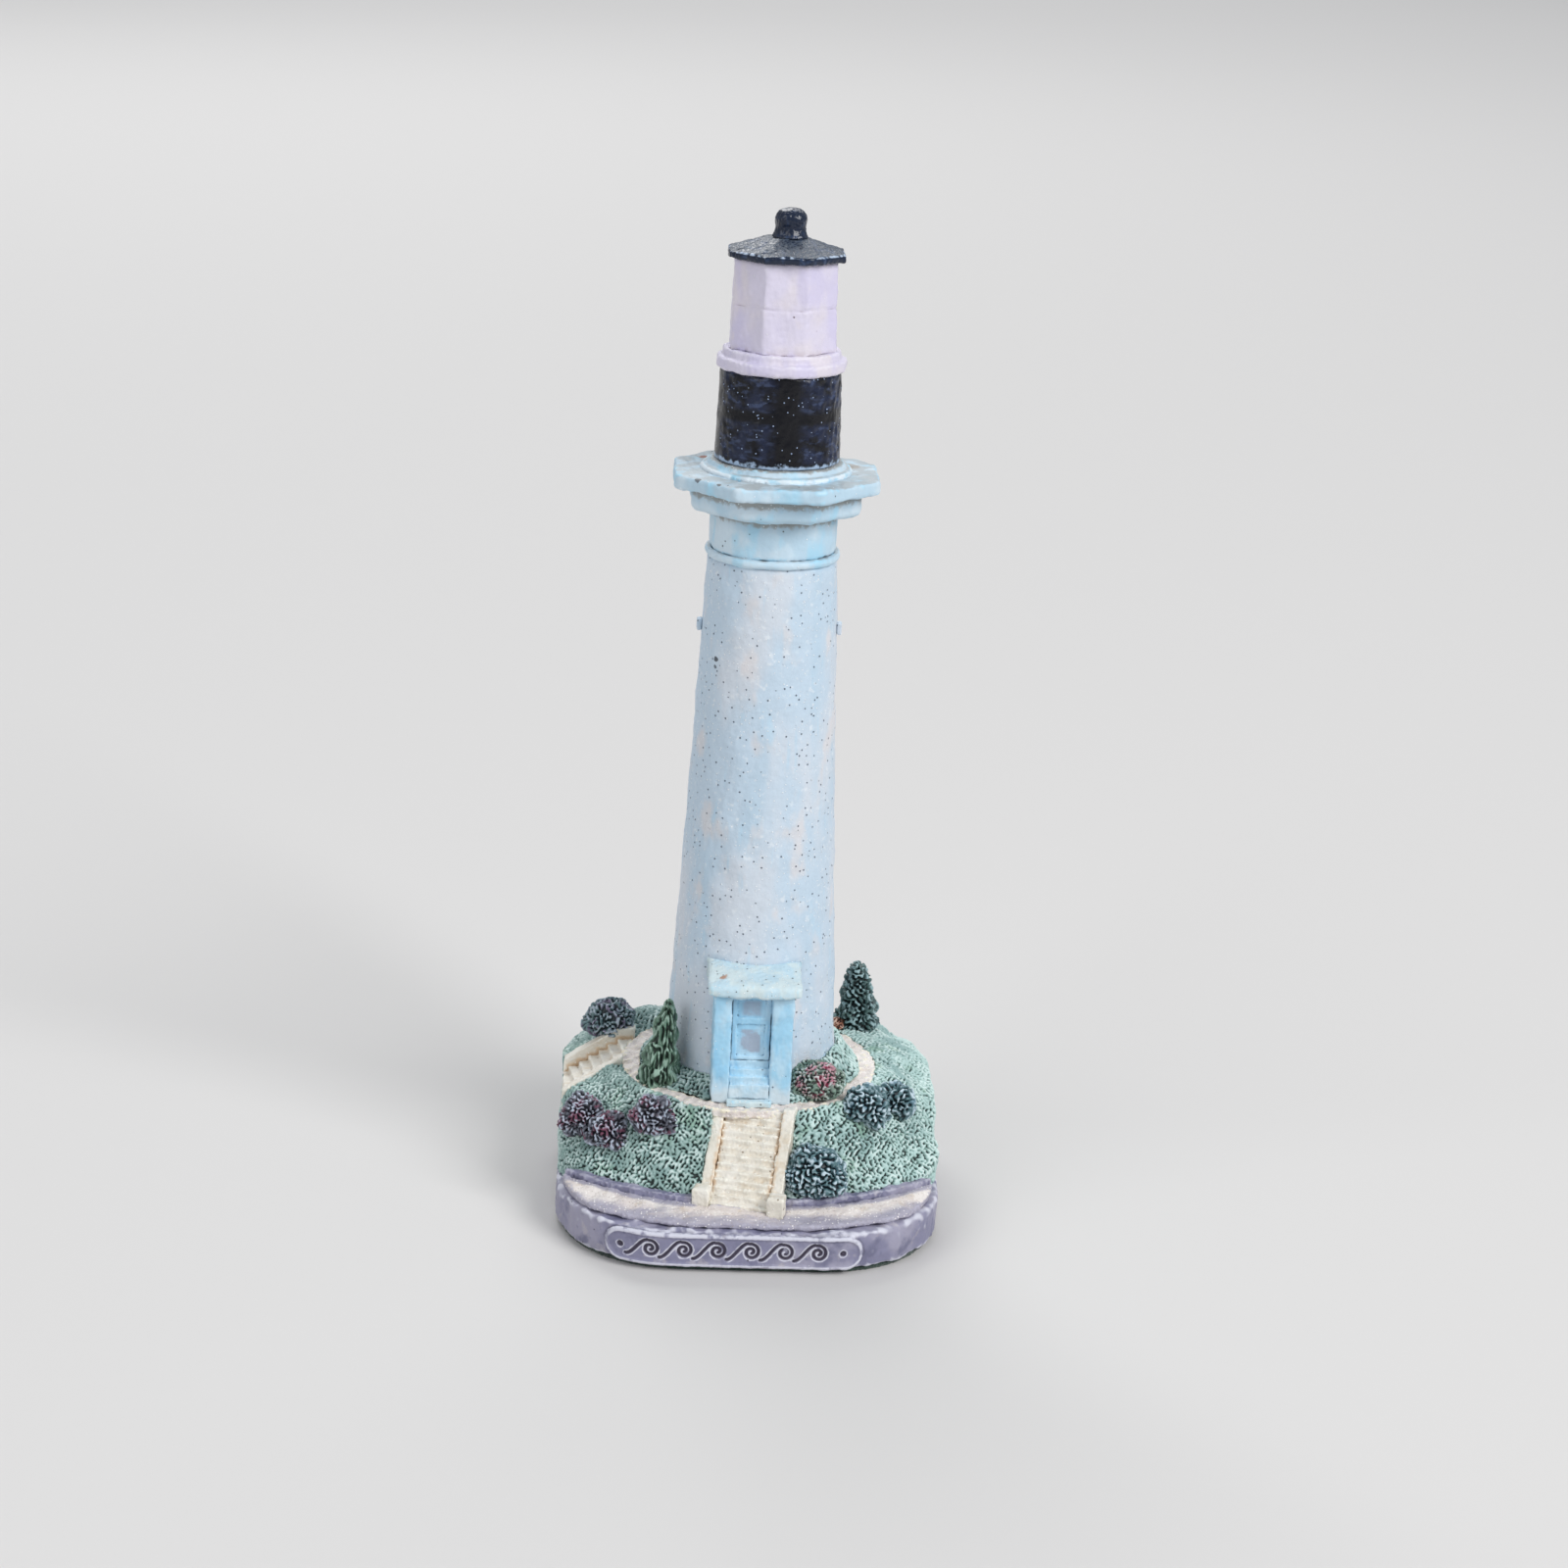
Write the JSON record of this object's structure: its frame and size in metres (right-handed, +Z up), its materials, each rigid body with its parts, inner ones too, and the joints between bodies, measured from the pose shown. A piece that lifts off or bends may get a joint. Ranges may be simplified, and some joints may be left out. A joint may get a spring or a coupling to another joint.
{
  "type": "souvenir figurine",
  "caption": "Hand-painted cast-resin lighthouse with gallery, lantern room and door, on a landscaped base with stairs, path, turf and shrubs, over a felt pad.",
  "frame": {"origin": "middle of the felt pad's underside", "axes": "+Z up the tower, -Y towards the front with the door and the plaque, +X to the right seen from the front"},
  "size_m": [0.0574, 0.06, 0.15],
  "materials": {
    "green_felt": "matt felt",
    "slate_lavender_paint": "matt brushed paint on cast resin",
    "sand_paint": "matt brushed paint on cast resin",
    "cream_paint": "satin brushed paint on cast resin",
    "turf_paint": "matt dry-brushed paint on cast resin",
    "foliage_paint": "matt dry-brushed paint on cast resin",
    "blossom_paint": "matt dry-brushed paint on cast resin",
    "door_blue_paint": "satin brushed paint on cast resin",
    "pale_blue_paint": "satin brushed paint on cast resin",
    "gloss_navy_paint": "gloss brushed paint on cast resin",
    "roof_slate_paint": "gloss brushed paint on cast resin",
    "pale_pink_paint": "satin brushed paint on cast resin"
  },
  "bodies": {
    "root": {"base_plinth": "slate_lavender_paint", "door_canopy": "pale_blue_paint", "door_leaf": "door_blue_paint", "door_steps": "door_blue_paint", "door_surround": "door_blue_paint", "door_threshold": "door_blue_paint", "drum_plinth": "pale_blue_paint", "felt_pad": "green_felt", "flower_bush": "blossom_paint", "flower_clump": "blossom_paint", "front_post_left": "cream_paint", "front_post_right": "cream_paint", "front_rail_left": "cream_paint", "front_rail_right": "cream_paint", "front_steps": "cream_paint", "gallery_corbel": "pale_blue_paint", "gallery_deck": "pale_blue_paint", "gallery_neck": "pale_blue_paint", "grass_hill": "turf_paint", "kerb_left": "slate_lavender_paint", "kerb_right": "slate_lavender_paint", "lantern_collar": "pale_pink_paint", "lantern_room": "pale_pink_paint", "left_conifer": "foliage_paint", "name_plaque": "slate_lavender_paint", "rear_conifer": "foliage_paint", "ring_path": "sand_paint", "road_strip": "sand_paint", "roof_cap": "roof_slate_paint", "roof_finial": "roof_slate_paint", "shaft_bead": "pale_blue_paint", "shrub_left_edge": "foliage_paint", "shrub_left_front": "foliage_paint", "shrub_left_inner": "foliage_paint", "shrub_rear_left": "foliage_paint", "shrub_right_edge": "foliage_paint", "shrub_right_front": "foliage_paint", "shrub_right_inner": "foliage_paint", "side_steps": "cream_paint", "side_wall_front": "cream_paint", "side_wall_rear": "cream_paint", "side_window_left": "pale_blue_paint", "side_window_right": "pale_blue_paint", "tower_mound": "turf_paint", "tower_shaft": "pale_blue_paint", "watch_drum": "gloss_navy_paint"}
  },
  "joints": []
}
